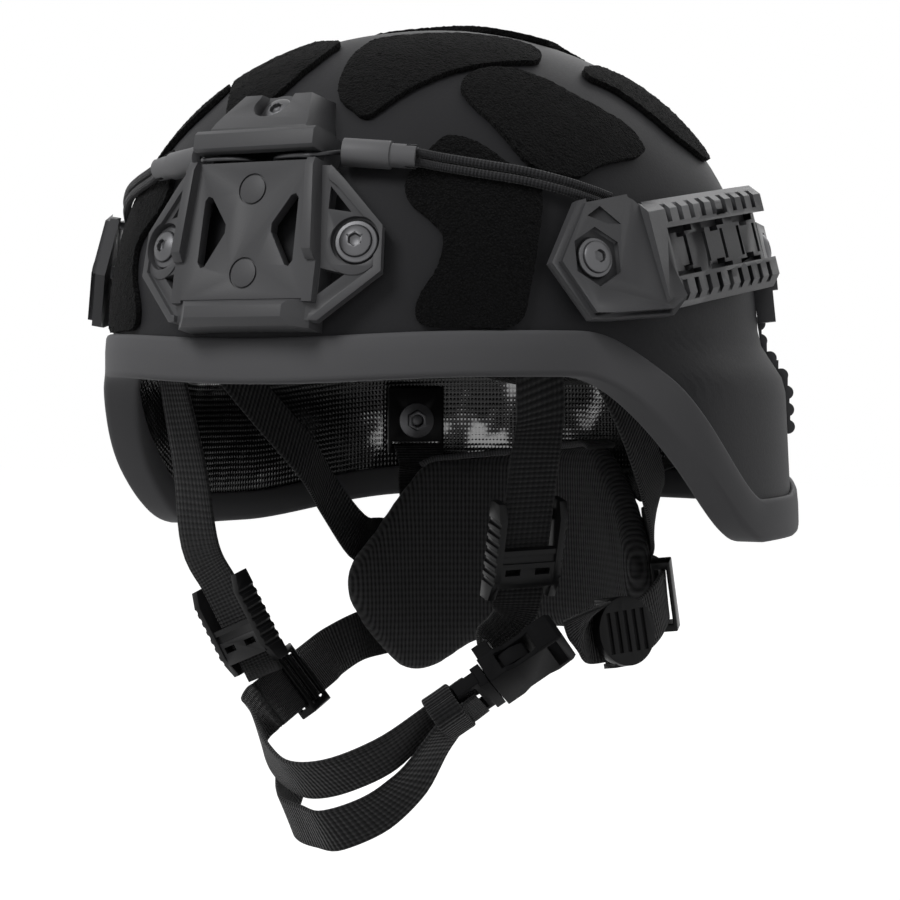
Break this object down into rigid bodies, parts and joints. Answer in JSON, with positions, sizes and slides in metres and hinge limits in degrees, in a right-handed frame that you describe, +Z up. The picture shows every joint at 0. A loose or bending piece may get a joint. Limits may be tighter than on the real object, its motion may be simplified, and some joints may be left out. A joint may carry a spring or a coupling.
{
  "type": "combat helmet",
  "caption": "Combat helmet with a front accessory shroud, side rails, loop panels, pads, a four-point harness with nape pad, and elastic lanyards.",
  "frame": {"origin": "centre of the head opening, in the plane of the front brim's lower edge", "axes": "-Y to the front, +X to the wearer's left, +Z up to the crown"},
  "size_m": [0.2616, 0.2821, 0.3061],
  "materials": {
    "shell_coat": "matt fine-textured paint over a pressed laminate",
    "edge_rubber": "matt moulded rubber",
    "coated_alloy": "satin hard coat",
    "rail_polymer": "satin moulded polymer",
    "screw_steel": "dark oxide",
    "nut_steel": "dark oxide",
    "black_polymer": "satin black",
    "loop_fabric": "fuzzy loop fabric",
    "nape_knit": "fine ribbed knit",
    "pad_fabric": "brushed fabric over foam",
    "webbing": "ribbed woven webbing",
    "buckle_polymer": "glossy black acetal",
    "elastic_cord": "braided elastic cord",
    "sleeve_rubber": "satin rubber",
    "hook_wire": "dark coated wire"
  },
  "bodies": {
    "helmet": {"shell": "shell_coat", "edge_trim": "edge_rubber", "shroud": "coated_alloy", "shroud_screws": "screw_steel", "shroud_nuts": "nut_steel", "rail_left": "rail_polymer", "rail_right": "rail_polymer", "rail_spacers": "black_polymer", "rail_screws": "screw_steel", "rear_clip_left": "rail_polymer", "rear_clip_right": "rail_polymer", "rear_screws": "screw_steel", "front_anchor_left": "black_polymer", "front_anchor_right": "black_polymer", "rear_anchor_left": "black_polymer", "rear_anchor_right": "black_polymer", "anchor_nuts": "nut_steel", "loop_side_left": "loop_fabric", "loop_side_right": "loop_fabric", "loop_temple_left": "loop_fabric", "loop_temple_right": "loop_fabric", "loop_brow_left": "loop_fabric", "loop_brow_right": "loop_fabric", "loop_back_left": "loop_fabric", "loop_back_right": "loop_fabric", "loop_crown": "loop_fabric", "loop_rear": "loop_fabric", "crown_pad": "pad_fabric", "front_pad": "pad_fabric", "rear_pad": "pad_fabric", "side_pad_front_left": "pad_fabric", "side_pad_front_right": "pad_fabric", "side_pad_rear_left": "pad_fabric", "side_pad_rear_right": "pad_fabric", "nape_pad": "nape_knit", "nape_tab_left": "webbing", "nape_tab_right": "webbing", "front_strap_left": "webbing", "front_strap_right": "webbing", "side_strap_left": "webbing", "side_strap_right": "webbing", "nape_strap_left": "webbing", "nape_strap_right": "webbing", "nape_lock": "buckle_polymer", "buckle_socket": "buckle_polymer"},
    "adjuster_left": {"adjuster_left": "buckle_polymer"},
    "adjuster_right": {"adjuster_right": "buckle_polymer"},
    "nape_slider_left": {"nape_loop_left": "buckle_polymer"},
    "nape_slider_right": {"nape_loop_right": "buckle_polymer"},
    "buckle_plug": {"buckle_plug": "buckle_polymer", "chin_strap": "webbing", "under_chin_strap": "webbing"},
    "buckle_arm_front": {"buckle_arm_front": "buckle_polymer"},
    "buckle_arm_back": {"buckle_arm_back": "buckle_polymer"},
    "lanyard_left": {"lanyard_cord_left": "elastic_cord", "lanyard_sleeve_left": "sleeve_rubber", "lanyard_hook_left": "hook_wire"},
    "lanyard_right": {"lanyard_cord_right": "elastic_cord", "lanyard_sleeve_right": "sleeve_rubber", "lanyard_hook_right": "hook_wire"}
  },
  "joints": [
    {"name": "adjuster_left_slide", "type": "slide", "parent": "helmet", "child": "adjuster_left", "axis": [-0.2199, 0.1749, -0.9597], "range_m": [-0.014, 0]},
    {"name": "adjuster_right_slide", "type": "slide", "parent": "helmet", "child": "adjuster_right", "axis": [0.3915, 0.2208, -0.8933], "range_m": [-0.014, 0]},
    {"name": "nape_slider_left_slide", "type": "slide", "parent": "helmet", "child": "nape_slider_left", "axis": [0.2631, -0.9395, -0.2192], "range_m": [0, 0.004]},
    {"name": "nape_slider_right_slide", "type": "slide", "parent": "helmet", "child": "nape_slider_right", "axis": [0.1839, -0.9656, -0.1839], "range_m": [-0.02, 0]},
    {"name": "buckle_slide", "type": "slide", "parent": "helmet", "child": "buckle_plug", "axis": [-0.7196, -0.4003, -0.5674], "range_m": [0, 0.018]},
    {"name": "buckle_arm_front_press", "type": "hinge", "parent": "buckle_plug", "child": "buckle_arm_front", "pos_m": [0.05222, -0.05807, -0.10539], "axis": [-0.6661, 0.167, 0.7269], "range_deg": [0, 10], "stiffness_Nm_per_rad": 0.1},
    {"name": "buckle_arm_back_press", "type": "hinge", "parent": "buckle_plug", "child": "buckle_arm_back", "pos_m": [0.04934, -0.04553, -0.11091], "axis": [-0.6661, 0.167, 0.7269], "range_deg": [-10, 0], "stiffness_Nm_per_rad": 0.1},
    {"name": "lanyard_left_swing", "type": "hinge", "parent": "helmet", "child": "lanyard_left", "pos_m": [0.1004, -0.0654, 0.06003], "axis": [0, 0, 1], "range_deg": [0, 30]},
    {"name": "lanyard_right_swing", "type": "hinge", "parent": "helmet", "child": "lanyard_right", "pos_m": [-0.1004, -0.0654, 0.06003], "axis": [0, 0, -1], "range_deg": [0, 30]}
  ],
  "couplings": [
    {"joint": "buckle_arm_back_press", "follows": "buckle_arm_front_press", "ratio": -1}
  ]
}
